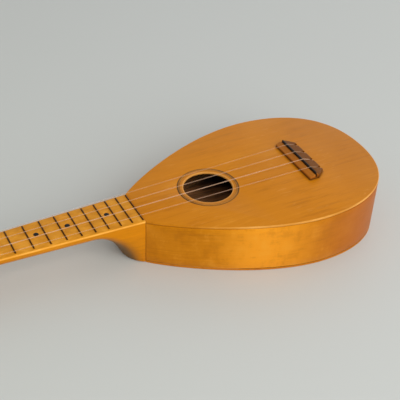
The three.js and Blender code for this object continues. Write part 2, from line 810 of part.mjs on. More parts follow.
// A turned wooden peg, its heights measured from the headstock's underside
function pegGeometry(diameter) {
  const top = headThickness + postHeight;
  const collarTop = -runningGap;
  const collarLow = collarTop - collarHeight;
  const stemLow = collarLow - stemLength;
  const shaft = solid(turned([
    [0, stemLow],
    [stemRadius, stemLow],
    [stemRadius, collarLow - stemLength / 2],
    [collarFootRadius, collarLow],
    [collarRadius, collarLow + collarHeight / 3],
    [collarRadius, collarTop],
    [postRadius, collarTop],
    [postRadius, top - postCrown],
    [postRadius - postCrown / 2, top - postCrown / 3],
    [postRadius - postCrown, top],
    [0, top],
  ], pegSides));
  const oval = new THREE.Shape();
  oval.absellipse(0, 0, thumbWidth / 2, thumbHeight / 2, 0, 2 * Math.PI);
  const thumb = new THREE.ExtrudeGeometry(oval, {
    depth: thumbThickness - 2 * thumbEdgeRadius,
    bevelThickness: thumbEdgeRadius,
    bevelSize: thumbEdgeRadius,
    bevelOffset: -thumbEdgeRadius,
    bevelSegments: 2,
    curveSegments: pegSides / 2,
  });
  thumb.translate(0, 0, thumbEdgeRadius - thumbThickness / 2).rotateX(Math.PI / 2);
  thumb.translate(0, 0, collarLow - stemLength / 2 - thumbHeight / 2);
  return geometryOf(shaft.add(solid(thumb)).subtract(solid(stringHole(diameter))));
}

function makeStringsAndPegs() {
  pegPlaces().forEach((post, index) => {
    const name = stringNames[index];
    const diameter = stringDiameters[index];
    const hand = Math.sign(post.x);
    makeString(index, post);
    const points = windingPoints(diameter, hand);
    console.log(`winding_${name}: least gap to itself ${leastGap(points, diameter).toFixed(2)} mm`);
    const peg = add(`peg_${name}`, pegGeometry(diameter), woods.peg);
    const winding = add(`winding_${name}`, cord(points, diameter / 2), stringNylon);
    for (const mesh of [peg, winding]) {
      mesh.position.set(post.x, post.y, -headDrop - headThickness);
      mesh.rotation.z = pegRestTurns[index];
    }
  });
}

makeSoundboard();
makeBack();
makeSides();
makeBlocks();
makeLinings();
makeBraces();
makeNeck();
makeFrets();
makeNut();
makeBridge();
makeStringsAndPegs();

// The back lies flat at height zero, and the whole is centred along Y
instrument.rotation.x = -Math.atan(bodyTaper);
instrument.position.z = depthAtNeck * Math.cos(instrument.rotation.x);
const group = new THREE.Group();
group.add(instrument);
group.updateMatrixWorld(true);
const box = new THREE.Box3().setFromObject(instrument, true);
instrument.position.y = -(box.min.y + box.max.y) / 2;

export default group;
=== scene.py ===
# %% [markdown]
# # A teardrop soprano ukulele
#
# This lesson dresses a packed model of a small wooden ukulele. The model brings the inner
# woodwork at the right size and place. Each outer piece is modelled again here with smooth
# curves, and rides on the part of the model that it belongs to, so that the tuning pegs still
# turn.

# %% Load the packed model
import json
import math

import bpy
from mathutils import Matrix, Quaternion, Vector
from mathutils.geometry import interpolate_bezier


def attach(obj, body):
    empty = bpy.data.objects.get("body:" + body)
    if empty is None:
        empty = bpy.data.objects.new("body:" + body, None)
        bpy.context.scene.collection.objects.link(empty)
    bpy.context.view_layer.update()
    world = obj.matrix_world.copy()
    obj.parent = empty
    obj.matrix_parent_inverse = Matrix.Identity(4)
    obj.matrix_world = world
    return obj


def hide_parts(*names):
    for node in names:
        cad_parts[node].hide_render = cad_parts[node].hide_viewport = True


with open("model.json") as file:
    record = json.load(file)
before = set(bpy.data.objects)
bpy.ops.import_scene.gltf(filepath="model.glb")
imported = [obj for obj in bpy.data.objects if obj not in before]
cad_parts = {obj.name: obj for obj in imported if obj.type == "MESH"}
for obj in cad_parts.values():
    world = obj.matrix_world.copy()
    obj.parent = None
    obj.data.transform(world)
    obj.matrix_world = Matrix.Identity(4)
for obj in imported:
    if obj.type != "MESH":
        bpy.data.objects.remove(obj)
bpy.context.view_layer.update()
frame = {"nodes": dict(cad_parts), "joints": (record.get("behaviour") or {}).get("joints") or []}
print("packed model:", len(frame["nodes"]), "nodes")

# %% [markdown]
# ## Sizes
#
# A luthier works from a drawing that starts at the joint of neck and body, on the soundboard's
# face. Y runs along the strings towards the head, X across and Z up out of the soundboard. All
# the pieces are made there, from these sizes in metres.

# %% Sizes of the instrument
mm = 0.001
scale_length = 340 * mm
joint_past_fret, saddle_past_scale = 1.3 * mm, 5.8 * mm
nut_y = scale_length / 2 + joint_past_fret
saddle_y = nut_y - scale_length - saddle_past_scale
body_length, body_width = 249 * mm, 169 * mm
depth_at_neck, depth_at_tail = 48 * mm, 58.5 * mm
body_taper = (depth_at_tail - depth_at_neck) / body_length
plate_thickness = 2.2 * mm
rib_thickness = 2 * mm
seam = 0.3 * mm
hole_y, hole_radius = -74.3 * mm, 23.2 * mm
head_length, head_drop, head_thickness = 98 * mm, 2.8 * mm, 9.7 * mm
width_at_joint, width_at_nut, nut_length = 44.6 * mm, 32 * mm, 4 * mm
string_names = ["g", "c", "e", "a"]
string_diameters = [0.7 * mm, 0.95 * mm, 0.85 * mm, 0.65 * mm]
nut_spacing, bridge_spacing = 9.3 * mm, 14 * mm
peg_places = [
    (x * mm, nut_y + past_nut * mm)
    for x, past_nut in ((-18.3, 28), (-15.5, 66), (15.5, 66), (18.3, 28))]
peg_degrees = [18, -32, 47, -12]
post_radius = 3.4 * mm
dot_x = 1.2 * mm


def fret_y(number):
    return nut_y - scale_length * (1 - 2 ** (-number / 12))


def neck_half(y):
    return (width_at_joint + (width_at_nut - width_at_joint) * y / nut_y) / 2


def string_x(index, spacing):
    return (index - 1.5) * spacing


print("saddle to nut:", round((nut_y - saddle_y) / mm, 1), "mm")

# %% [markdown]
# The instrument lies on its back, and the back isn't parallel to the soundboard, so the drawing
# is tipped a little. A tuning peg's joint in the packed model tells how far, and where the
# drawing starts, because the same point is known in both.

# %% From the drawing to the lying instrument
peg_joint = next(joint for joint in frame["joints"] if joint["name"] == "turn_peg_g")
tip = Matrix.Rotation(-math.asin(peg_joint["axis"][1]), 4, "X")
peg_foot = Vector((*peg_places[0], -head_drop - head_thickness))
lie_down = Matrix.Translation(Vector(peg_joint["pos_m"]) - tip @ peg_foot) @ tip
face_normal = lie_down.to_3x3() @ Vector((0, 0, 1))
face_height = face_normal.dot(lie_down.to_translation())
hole_centre = lie_down @ Vector((0, hole_y, 0))
print("soundboard's face at the joint:", [round(v, 4) for v in lie_down.to_translation()])

# %% [markdown]
# ## The camera
#
# The photograph looks down at the near side of the body from beside the head, and the neck runs
# out of the picture. A long lens keeps the shape calm, and the camera is rolled a little, as the
# photograph's was. Its place was worked out from frets, dots and soundhole, whose sizes are
# known.

# %% Camera
camera = bpy.data.objects.new("camera", bpy.data.cameras.new("camera"))
bpy.context.collection.objects.link(camera)
camera.location = lie_down @ Vector((-579.97 * mm, 258.19 * mm, 496.72 * mm))
looks_at = lie_down @ Vector((-14.75 * mm, -58.12 * mm, 0))
roll = math.radians(5.401)
aim = (looks_at - camera.location).to_track_quat("-Z", "Y")
camera.rotation_mode = "QUATERNION"
camera.rotation_quaternion = aim @ Quaternion((0, 0, 1), roll)
camera.data.sensor_fit = "HORIZONTAL"
camera.data.sensor_width = 36
camera.data.lens = 80.03
bpy.context.scene.camera = camera
bpy.context.scene.view_settings.view_transform = "Standard"
print("camera is", round((looks_at - camera.location).length, 3), "m from the body")

# %% [markdown]
# ## Shader sums
#
# Grain is a sum of several noises, and a sum is easier to read as an expression than as a drawing
# of nodes. A wire holds one socket, and adding or multiplying wires adds the Math nodes that do
# it. A wiring is a tree of nodes with a method for each kind that is often needed, and a finish
# is the wiring of one material.


# %% A wire for sums
class Wire:
    def __init__(self, wiring, socket):
        self.wiring = wiring
        self.socket = socket

    def __add__(self, other):
        return self.wiring.number("ADD", self, other)

    def __sub__(self, other):
        return self.wiring.number("SUBTRACT", self, other)

    def __rsub__(self, other):
        return self.wiring.number("SUBTRACT", other, self)

    def __mul__(self, other):
        return self.wiring.number("MULTIPLY", self, other)

    __radd__ = __add__
    __rmul__ = __mul__


print("a wire can add, subtract and multiply")


# %% Wiring
class Wiring:
    def __init__(self, tree):
        self.tree = tree

    def add(self, kind, settings=None, inputs=None, output=0):
        node = self.tree.nodes.new(kind)
        for key, value in (settings or {}).items():
            setattr(node, key, value)
        for key, value in (inputs or {}).items():
            self.feed(node.inputs[key], value)
        return Wire(self, node.outputs[output])

    def feed(self, socket, value):
        if isinstance(value, Wire):
            self.tree.links.new(value.socket, socket)
        else:
            socket.default_value = value

    def number(self, operation, first, second=0.0):
        return self.add("ShaderNodeMath", {"operation": operation}, {0: first, 1: second})

    def vector(self, operation, first, second=(0, 0, 0), output=0):
        settings = {"operation": operation}
        return self.add("ShaderNodeVectorMath", settings, {0: first, 1: second}, output)

    def measure(self, operation, first, second=(0, 0, 0)):
        return self.vector(operation, first, second, output=1)

    def axis(self, place, letter):
        return self.add("ShaderNodeSeparateXYZ", None, {"Vector": place}, letter)

    def place(self):
        return self.add("ShaderNodeTexCoord", output="Object")

    def stretched(self, place, scale):
        return self.add("ShaderNodeMapping", None, {"Vector": place, "Scale": scale})

    def noise(self, place, scale, detail=3.0, roughness=0.5, distortion=0.0):
        return self.add("ShaderNodeTexNoise", None, {
            "Vector": place, "Scale": scale, "Detail": detail,
            "Roughness": roughness, "Distortion": distortion,
        })

    def between(self, value, low, high, to_low=0.0, to_high=1.0):
        return self.add("ShaderNodeMapRange", {"interpolation_type": "SMOOTHSTEP"}, {
            "Value": value, "From Min": low, "From Max": high, "To Min": to_low, "To Max": to_high,
        })

    def blend(self, share, first, second):
        settings = {"data_type": "RGBA", "clamp_factor": True}
        return self.add("ShaderNodeMix", settings, {0: share, 6: first, 7: second}, output=2)

    def bump(self, height, distance, strength):
        return self.add(
            "ShaderNodeBump", None, {"Height": height, "Distance": distance, "Strength": strength})


print("a wiring has:", [name for name in vars(Wiring) if not name.startswith("_")])


# %% Finish and paint
class Finish(Wiring):
    def __init__(self, name):
        self.material = bpy.data.materials.new(name)
        self.material.use_nodes = True
        super().__init__(self.material.node_tree)
        self.surface = self.tree.nodes["Principled BSDF"]

    def shade(self, **values):
        for key, value in values.items():
            self.feed(self.surface.inputs[key.replace("_", " ")], value)


def paint(code):
    channels = [int(code[start:start + 2], 16) / 255 for start in (0, 2, 4)]
    linear = [c / 12.92 if c <= 0.04045 else ((c + 0.055) / 1.055) ** 2.4 for c in channels]
    return (*linear, 1.0)


print("soundboard amber in linear light:", [round(c, 3) for c in paint("c17a2e")[:3]])

# %% [markdown]
# ## Varnished wood
#
# Close-grained wood under an amber varnish has four things to see: fine lines along the grain,
# wider streaks, a slow cloudiness where the varnish lies thicker, and short dark pores. Each is
# one noise, stretched along the grain. Light that comes back out of the fibres has gone through
# the amber twice, so the wood's own gloss is tinted, and only a thin clear coat over it shines
# white.

# %% Varnished wood
amber_gloss = (1.0, 0.52, 0.07, 1.0)


def varnished_wood(
        name, codes, place=None, grain=(1.0, 0.05, 1.0), gloss=0.32, shine=0.5, surface_marks=None):
    finish = Finish(name)
    light, body, dark = [paint(code) for code in codes]
    where = place(finish) if place else finish.place()
    lines = finish.noise(finish.stretched(where, grain), 900.0, 4.0, 0.6)
    streaks = finish.noise(finish.stretched(where, grain), 210.0, 3.0, 0.55, 0.3)
    clouds = finish.noise(where, 22.0, 3.0, 0.55)
    pores = finish.noise(finish.stretched(where, (1.0, 0.12, 1.0)), 1500.0, 2.0, 0.5)
    pore_mask = finish.between(pores, 0.64, 0.72)
    depth = lines * 0.35 + streaks * 0.4 + clouds * 0.35 - 0.05
    color = finish.blend(finish.between(depth, 0.3, 0.5), dark, body)
    color = finish.blend(finish.between(depth, 0.5, 0.72), color, light)
    color = finish.blend(pore_mask * 0.35, color, dark)
    if surface_marks:
        color = surface_marks(finish, where, color)
    finish.shade(
        Base_Color=color,
        Roughness=finish.between(lines, 0.3, 0.7, gloss + 0.12, gloss + 0.22),
        Specular_IOR_Level=shine,
        Specular_Tint=amber_gloss,
        Coat_Weight=finish.between(clouds, 0.3, 0.7, 0.06 * shine, 0.2 * shine),
        Coat_Roughness=gloss,
        Normal=finish.bump(lines * 0.6 + streaks * 0.4 - pore_mask * 0.5, 0.06 * mm, 0.5),
    )
    return finish.material


back_wood = varnished_wood("amber_back", ["cc7e1a", "bc7010", "a05a0a"])
print("first finish:", back_wood.name)

# %% [markdown]
# The ribs were bent over heat, and their grain bends with them, so it reads the rib's own map,
# which runs along the wood from the neck. A broad pale band on them is a painted highlight, where
# the lamp's sheen falls, and they are darker and redder to the tail, partly as painted shade, with
# an upright, cloudy figure.


# %% Rib wood
def along_rib(finish):
    return finish.add("ShaderNodeTexCoord", output="UV")


def rib_figure_and_painted_light(finish, where, color):
    from_neck = finish.number("ABSOLUTE", finish.axis(where, "X"))
    fading = 1 - finish.between(from_neck, 106 * mm, 182 * mm)
    # Painted highlight: a broad pale band on the rib where the near lamp's sheen falls
    rib_painted_highlight = finish.between(from_neck, 45 * mm, 104 * mm) * fading
    # Darker and redder towards the tail, partly painted shade
    red = finish.between(from_neck, 124 * mm, 225 * mm)
    upright = finish.noise(finish.stretched(where, (1.0, 0.3, 1.0)), 190.0, 3.0, 0.6)
    level = finish.noise(finish.stretched(where, (0.08, 1.0, 1.0)), 420.0, 3.0, 0.6)
    mottle = finish.noise(where, 44.0, 5.0, 0.62)
    figure = upright * 0.2 + level * 0.18 + mottle * 0.62
    color = finish.blend(rib_painted_highlight * 0.85, color, paint("f09a22"))
    color = finish.blend(red * 0.85, color, paint("ac580e"))
    light_figure = finish.between(figure, 0.5, 0.62) * (1 - red)
    dark_figure = 1 - finish.between(figure, 0.4, 0.5)
    color = finish.blend(light_figure * 0.28, color, paint("eaa236"))
    return finish.blend(dark_figure * 0.24, color, paint("985406"))


rib_wood = varnished_wood(
    "amber_ribs", ["cc8210", "c07406", "a86204"], place=along_rib,
    grain=(0.05, 1.0, 1.0), gloss=0.3, surface_marks=rib_figure_and_painted_light)
print("for the ribs:", rib_wood.name)

# %% [markdown]
# The soundboard shows its use, and painted light and shade. Dust lies along the bridge's foot,
# where no cloth reaches, together with painted shade. The edge of the hole is paler, partly worn
# and partly a painted highlight, beside a line of old stain, fine light scratches follow the
# grain, and painted shade makes the wood darker towards the tail. The rim is painted palest
# towards the tail, partly wear and partly painted highlight.
# Such marks could be painted on an image. Masks that are worked out from distances need none, and
# they follow the bridge and the hole when those move.


# %% Soundboard wood
def past_bridge(finish, where):
    """How far a place lies outside the bridge's foot, whose two rear corners are cut off"""
    foot_centre = lie_down @ Vector((0, saddle_y - 3 * mm, 0))
    half_foot = (31 * mm, 9.2 * mm, 100 * mm)
    corner_across, corner_along, corner_reach = 0.768, 0.64, 24.1 * mm
    offset = finish.vector("SUBTRACT", where, foot_centre)
    apart = finish.vector("ABSOLUTE", offset)
    past = finish.vector("MAXIMUM", finish.vector("SUBTRACT", apart, half_foot))
    along_corner = finish.axis(offset, "Y") * corner_along
    past_corner = finish.axis(apart, "X") * corner_across - along_corner - corner_reach
    return finish.number("MAXIMUM", finish.measure("LENGTH", past), past_corner)


def soundboard_wear_and_shade(finish, where, color):
    # Painted shade: the soundboard is darker towards the tail
    darker = finish.between(finish.axis(where, "Y"), -170 * mm, -245 * mm)
    color = finish.blend(darker * 0.3, color, paint("96560e"))
    # Dust along the bridge's foot, with painted shade there too
    dust_and_shade = 1 - finish.between(past_bridge(finish, where), 0, 2.7 * mm)
    from_hole = finish.measure("DISTANCE", where, hole_centre)
    # Paler edge of the hole: partly wear, partly painted highlight
    hole_rim_wear_and_highlight = 1 - finish.between(from_hole, 23.8 * mm, 24.8 * mm)
    stain_end = 1 - finish.between(from_hole, 26 * mm, 26.8 * mm)
    stain = finish.between(from_hole, 24.2 * mm, 25.4 * mm) * stain_end
    scratches = finish.noise(finish.stretched(where, (0.8, 0.14, 1.0)), 480.0, 2.0, 0.4, 0.8)
    worn = finish.between(finish.noise(where, 30.0, 2.0), 0.4, 0.65)
    color = finish.blend(finish.between(scratches, 0.6, 0.7) * worn * 0.16, color, paint("e8ae62"))
    color = finish.blend(stain * 0.35, color, paint("9a5f22"))
    color = finish.blend(hole_rim_wear_and_highlight * 0.55, color, paint("e6ac60"))
    return finish.blend(dust_and_shade * 0.6, color, paint("6b4415"))


def rim_wear_and_highlight(finish, where, color):
    # Painted highlight and wear: the rim is painted paler towards the tail
    rim_highlight_stretch = finish.between(finish.axis(where, "Y"), -35 * mm, -95 * mm)
    rubbed = finish.between(finish.noise(where, 36.0, 3.0), 0.3, 0.7, 0.35, 0.85)
    return finish.blend(rim_highlight_stretch * rubbed, color, paint("e8a854"))


soundboard_wood = varnished_wood(
    "amber_soundboard", ["d78a1c", "cb7c0e", "b86c08"], shine=0.3, surface_marks=soundboard_wear_and_shade)
edge_wood = varnished_wood(
    "amber_soundboard_edge", ["d0841c", "c27610", "a86408"], surface_marks=rim_wear_and_highlight)
print("for the soundboard:", soundboard_wood.name, "and", edge_wood.name)

# %% [markdown]
# The neck is one piece of wood with no separate fingerboard. Its face is played on, so the varnish
# there is rubbed paler than on the heel and the sides. The rounded edges along the face are
# palest, partly worn and partly a painted highlight where they catch the light. The heel's round
# belly is painted dark brown as shade, and the painted shade fades out over the lower corners of
# the cheeks. The parts of the neck could have a finish each, with a hard border between them. One
# finish with masks lets them fade into each other, as wear and shade do.


# %% Neck wood
def above_face(finish, where):
    """How high a place lies above the soundboard's face, in metres"""
    return finish.measure("DOT_PRODUCT", where, face_normal) - face_height


def heel_painted_shade(finish, where, height):
    """A mask of painted shade on the heel's round part, that fades out over the lower corners of
    the two cheeks
    """
    apart = finish.vector("SUBTRACT", where, lie_down.to_translation())
    along = finish.axis(apart, "Y")
    across = finish.number("ABSOLUTE", finish.axis(apart, "X"))
    narrowing = (neck_half(0) - neck_half(nut_y)) / nut_y
    inwards = neck_half(0) - along * narrowing - across
    below = 1 - finish.between(height, -6 * mm, -3 * mm)
    near_body = 1 - finish.between(along, 28 * mm, 52 * mm)
    deep = finish.between(height, -34 * mm, -8 * mm, 0.9, 0.66)
    belly = finish.between(inwards, 0, 7 * mm) * below * near_body * deep
    low = 1 - finish.between(height, -38 * mm, -12 * mm)
    return belly + (1 - belly) * low * finish.between(along, 1 * mm, 20 * mm, 0.08, 0.5)


def played_face_and_painted_light(finish, where, color):
    height = above_face(finish, where)
    face = finish.between(height, -0.6 * mm, -0.1 * mm)
    edge = finish.between(height, -2.2 * mm, -1.2 * mm) * (1 - face)
    rubbed = finish.noise(where, 60.0, 3.0)
    # Painted shade: the heel's belly and its cheeks' lower corners are painted dark brown
    color = finish.blend(heel_painted_shade(finish, where, height), color, paint("664a26"))
    patches = finish.noise(finish.stretched(where, (1.0, 0.45, 1.0)), 170.0, 3.0, 0.6)
    paler = face * finish.between(rubbed, 0.3, 0.7, 0.45, 0.8)
    palest = face * finish.between(patches, 0.5, 0.68)
    darker = face * (1 - finish.between(patches, 0.34, 0.5))
    # Painted highlight and wear: the rounded edges along the face are painted palest
    edge_wear_and_highlight = edge * finish.between(rubbed, 0.3, 0.7, 0.5, 0.95)
    color = finish.blend(paler, color, paint("dd9729"))
    color = finish.blend(palest * 0.5, color, paint("f2a83a"))
    color = finish.blend(darker * 0.4, color, paint("b4701a"))
    return finish.blend(edge_wear_and_highlight, color, paint("fcb650"))


neck_wood = varnished_wood(
    "amber_neck", ["db8a0a", "ce7e06", "b66a04"], gloss=0.3, shine=0.35, surface_marks=played_face_and_painted_light)
print("for the neck:", neck_wood.name)

# %% [markdown]
# The bridge is a redder brown wood under thin varnish. Its foot is painted darker, partly glue and
# partly painted shade, and just behind the saddle it is painted darker as shade. The pegs are dark
# hardwood, whose grain runs up the post. Both are the same varnished wood with other paints, so
# that all the wood looks related.


# %% Bridge wood and peg wood
def glue_and_painted_shade(finish, where, color):
    # Glue and painted shade: darker at the bridge's foot
    foot = 1 - finish.between(above_face(finish, where), 0.6 * mm, 3.3 * mm)
    saddle_place = (lie_down @ Vector((0, saddle_y, 0))).y
    # Painted shade: darker just behind the saddle
    behind = finish.between(finish.axis(where, "Y"), saddle_place, saddle_place - 3 * mm)
    color = finish.blend(behind * 0.8, color, paint("5a300c"))
    return finish.blend(foot * 0.8, color, paint("46280e"))


bridge_wood = varnished_wood(
    "brown_bridge", ["c07a2c", "a9631e", "804612"],
    grain=(0.05, 1.0, 1.0), gloss=0.4, shine=0.35, surface_marks=glue_and_painted_shade)
peg_wood = varnished_wood(
    "dark_peg", ["5d3a20", "47291a", "2d190f"], grain=(1.0, 1.0, 0.08), gloss=0.3)
print("for bridge and pegs:", bridge_wood.name, "and", peg_wood.name)

# %% [markdown]
# Inside the body nothing is varnished. Blocks, braces and the inner faces of the plates and ribs
# are planed and left bare, so they are dull, have browned with age, and show the plane's fine
# lines. That is a simpler finish of its own. The pieces inside already have the right shape, so
# they stay as they are and only get it.


# %% Bare wood
def shade_inside_body(finish, where, color):
    """Painted shade inside the body: the inner faces are darker the further they lie from the
    soundhole
    """
    from_hole = finish.measure("DISTANCE", where, hole_centre)
    return finish.blend(finish.between(from_hole, 77 * mm, 97 * mm), color, paint("241408"))


def bare_wood(name, light, dark, fineness=700.0, surface_marks=None):
    finish = Finish(name)
    where = finish.place()
    lines = finish.noise(finish.stretched(where, (1.0, 0.08, 1.0)), fineness, 3.0, 0.55)
    clouds = finish.noise(where, 40.0, 2.0)
    color = finish.blend(finish.between(lines * 0.7 + clouds * 0.3, 0.35, 0.65), dark, light)
    if surface_marks:
        color = surface_marks(finish, where, color)
    finish.shade(
        Base_Color=color,
        Roughness=finish.between(lines, 0.3, 0.7, 0.7, 0.85),
        Normal=finish.bump(lines, 0.15 * mm, 0.5),
    )
    return finish.material


spruce = bare_wood("bare_spruce", paint("a87a48"), paint("835a30"))
inner_wood = bare_wood("bare_inner_face", paint("dc9c62"), paint("74482a"), 220.0, shade_inside_body)
inner_nodes = [
    "neck_block", "tail_block", "neck_dowel", "bridge_plate",
    "soundboard_lining_left", "soundboard_lining_right", "back_lining_left", "back_lining_right",
    "soundboard_brace_upper", "soundboard_brace_lower", "back_brace_upper", "back_brace_lower",
]
for node in inner_nodes:
    mesh = frame["nodes"][node].data
    mesh.materials.clear()
    mesh.materials.append(spruce)
print("bare wood on", len(inner_nodes), "inner pieces")

# %% [markdown]
# ## Plastic, metal and nylon
#
# The dots and the saddle are black plastic with a faint polish that handling has dulled. The
# frets have gone dark with age, with the metal still bright in scratches. The nut is bone, and
# the strings are clear nylon, which looks pale and a little pink over amber wood, the thickest
# one palest. Clear nylon could bend the light as glass does, but that is slow and speckled on
# pieces so thin, so the strings are made partly see-through instead.


# %% Small finishes
def moulded(name, color, shade, gloss):
    finish = Finish(name)
    where = finish.place()
    cloud = finish.noise(where, 120.0, 3.0)
    grain = finish.noise(where, 2500.0, 2.0)
    finish.shade(
        Base_Color=finish.blend(finish.between(cloud, 0.35, 0.65), shade, color),
        Roughness=finish.between(grain, 0.3, 0.7, gloss - 0.06, gloss + 0.08),
        Specular_IOR_Level=0.3,
        Normal=finish.bump(grain, 0.02 * mm, 0.4),
    )
    return finish


black_plastic = moulded("black_plastic", paint("100c09"), paint("080604"), 0.42).material
bone = moulded("bone", paint("e8dfc6"), paint("d6c9a6"), 0.42).material


def clear_nylon(name, share):
    finish = moulded(name, paint("e6bfa0"), paint("dab08c"), 0.28)
    finish.shade(Alpha=share)
    return finish.material


thin_nylon, thick_nylon = clear_nylon("clear_nylon", 0.2), clear_nylon("clear_nylon_thick", 0.31)
nylons = [thin_nylon, thick_nylon, thin_nylon, thin_nylon]
aged_metal = Finish("aged_fret_metal")
along_fret = aged_metal.stretched(aged_metal.place(), (0.15, 1.0, 1.0))
scratches = aged_metal.noise(along_fret, 4000.0, 3.0)
bright = aged_metal.between(scratches, 0.6, 0.72)
aged_metal.shade(
    Base_Color=aged_metal.blend(bright * 0.5, paint("54300a"), paint("a07434")),
    Specular_IOR_Level=0.2,
    Metallic=aged_metal.between(scratches, 0.3, 0.7, 0.55, 0.8),
    Roughness=aged_metal.between(scratches, 0.3, 0.7, 0.5, 0.38),
    Normal=aged_metal.bump(scratches, 0.02 * mm, 0.4),
)
fret_metal = aged_metal.material
small_finishes = (black_plastic, bone, thin_nylon, thick_nylon, fret_metal)
print("small finishes:", [material.name for material in small_finishes])

# %% [markdown]
# ## Modelling helpers
#
# Blender's operators act on what is selected, so each piece starts with nothing selected. Faces
# and edges are picked by where they are, because their numbers change with every cut.


# %% Start, pick and modify
def start_fresh():
    if bpy.context.mode != "OBJECT":
        bpy.ops.object.mode_set(mode="OBJECT")
    bpy.ops.object.select_all(action="DESELECT")


def take(piece):
    start_fresh()
    piece.select_set(True)
    bpy.context.view_layer.objects.active = piece


def apply_place():
    bpy.ops.object.transform_apply(location=True, rotation=True, scale=True)


def edit(piece, kind="FACE", test=None):
    """Opens a piece in edit mode with the faces or edges selected that pass a test"""
    take(piece)
    bpy.ops.object.mode_set(mode="EDIT")
    bpy.ops.mesh.select_mode(type=kind)
    bpy.ops.mesh.select_all(action="DESELECT" if test else "SELECT")
    if test:
        bpy.ops.object.mode_set(mode="OBJECT")
        for part in piece.data.polygons if kind == "FACE" else piece.data.edges:
            part.select = test(part)
        bpy.ops.object.mode_set(mode="EDIT")


def close_edit(outwards=False):
    if outwards:
        bpy.ops.mesh.select_all(action="SELECT")
        bpy.ops.mesh.normals_make_consistent(inside=False)
    bpy.ops.object.mode_set(mode="OBJECT")


def modify(piece, kind, **settings):
    take(piece)
    modifier = piece.modifiers.new(kind.lower(), kind)
    for key, value in settings.items():
        setattr(modifier, key, value)
    bpy.ops.object.modifier_apply(modifier=modifier.name)
    return piece


print("free to start in", bpy.context.mode, "mode")

# %% [markdown]
# Three shapes start most pieces: a box, a rod, and a flat outline pushed out to a thickness.
# Their edges are then softened with a bevel, because no edge that is handled stays sharp, and
# slots and holes are cut with a second piece, as a saw or a drill would.


# %% Box, rod, prism, bevel and cut
def soften(piece, width, segments=3, angle=35):
    return modify(
        piece, "BEVEL", width=width, segments=segments,
        limit_method="ANGLE", angle_limit=math.radians(angle))


def cut(piece, tool, operation="DIFFERENCE"):
    modify(piece, "BOOLEAN", object=tool, operation=operation, solver="EXACT")
    bpy.data.objects.remove(tool)


same_point = 0.01 * mm


def merge_close(piece):
    """Merges the points that bevels and booleans leave almost on top of each other"""
    edit(piece)
    bpy.ops.mesh.remove_doubles(threshold=2 * same_point)
    bpy.ops.mesh.dissolve_degenerate(threshold=same_point)
    close_edit()


def box_between(low, high):
    start_fresh()
    middle = [(a + b) / 2 for a, b in zip(low, high)]
    bpy.ops.mesh.primitive_cube_add(size=1, location=middle)
    box = bpy.context.object
    box.scale = [b - a for a, b in zip(low, high)]
    apply_place()
    return box


def rod(radius, low, high, sides=48, place=(0, 0), axis="Z"):
    start_fresh()
    middle = (*place, (low + high) / 2) if axis == "Z" else ((low + high) / 2, *place)
    turn = (0, 0, 0) if axis == "Z" else (0, math.pi / 2, 0)
    bpy.ops.mesh.primitive_cylinder_add(
        vertices=sides, radius=radius, depth=high - low, location=middle, rotation=turn)
    piece = bpy.context.object
    apply_place()
    return piece


def prism(corners, push):
    """A filled circle whose points are moved onto the corners of a flat shape, and extruded"""
    start_fresh()
    bpy.ops.mesh.primitive_circle_add(vertices=len(corners), radius=1, fill_type="NGON")
    piece = bpy.context.object
    for vertex, corner in zip(piece.data.vertices, corners):
        vertex.co = corner
    edit(piece)
    bpy.ops.mesh.extrude_region_move(TRANSFORM_OT_translate={"value": push})
    close_edit(outwards=True)
    return piece


def slab(outline, height, thickness):
    return prism([(x, y, height) for x, y in outline], (0, 0, -thickness))


print("shapes to start from:", [shape.__name__ for shape in (box_between, rod, prism, slab)])

# %% [markdown]
# Ribs and neck are curved surfaces, made by moving the points of a grid, and a string is a round
# tube along a line of points. A finished piece is laid down with the instrument, gets its finish,
# rides on its part of the model and takes the place of the plain piece there.


# %% Wrapped grid, tube and settling
def wrapped_grid(columns, rows, point_at, seam_closed=True):
    """A grid whose points are moved onto a surface, with its seam merged and its ends filled"""
    start_fresh()
    bpy.ops.mesh.primitive_grid_add(x_subdivisions=columns, y_subdivisions=rows, size=2)
    piece = bpy.context.object
    for vertex in piece.data.vertices:
        column = round((vertex.co.x + 1) / 2 * columns)
        row = round((vertex.co.y + 1) / 2 * rows)
        vertex.co = point_at(column, row)
    if seam_closed:
        edit(piece)
        bpy.ops.mesh.remove_doubles(threshold=same_point)
        bpy.ops.mesh.select_all(action="DESELECT")
        bpy.ops.mesh.select_mode(type="EDGE")
        bpy.ops.mesh.select_non_manifold(extend=False, use_multi_face=False)
        bpy.ops.mesh.edge_face_add()
        close_edit(outwards=True)
    return piece


def tube(points, radius):
    """A round cord through a list of points, closed at its ends"""
    start_fresh()
    bpy.ops.curve.primitive_bezier_curve_add()
    cord = bpy.context.object
    cord.data.splines.clear()
    spline = cord.data.splines.new("POLY")
    spline.points.add(len(points) - 1)
    for knot, point in zip(spline.points, points):
        knot.co = (*point, 1)
    cord.data.dimensions = "3D"
    cord.data.bevel_depth = radius
    cord.data.bevel_resolution = 3
    cord.data.use_fill_caps = True
    cord.data.twist_mode = "MINIMUM"
    bpy.ops.object.convert(target="MESH")
    piece = bpy.context.object
    apply_place()
    edit(piece)
    bpy.ops.mesh.remove_doubles(threshold=same_point / 2)
    close_edit(outwards=True)
    return piece


def join(pieces):
    start_fresh()
    for piece in pieces:
        piece.select_set(True)
    bpy.context.view_layer.objects.active = pieces[0]
    bpy.ops.object.join()
    return bpy.context.object


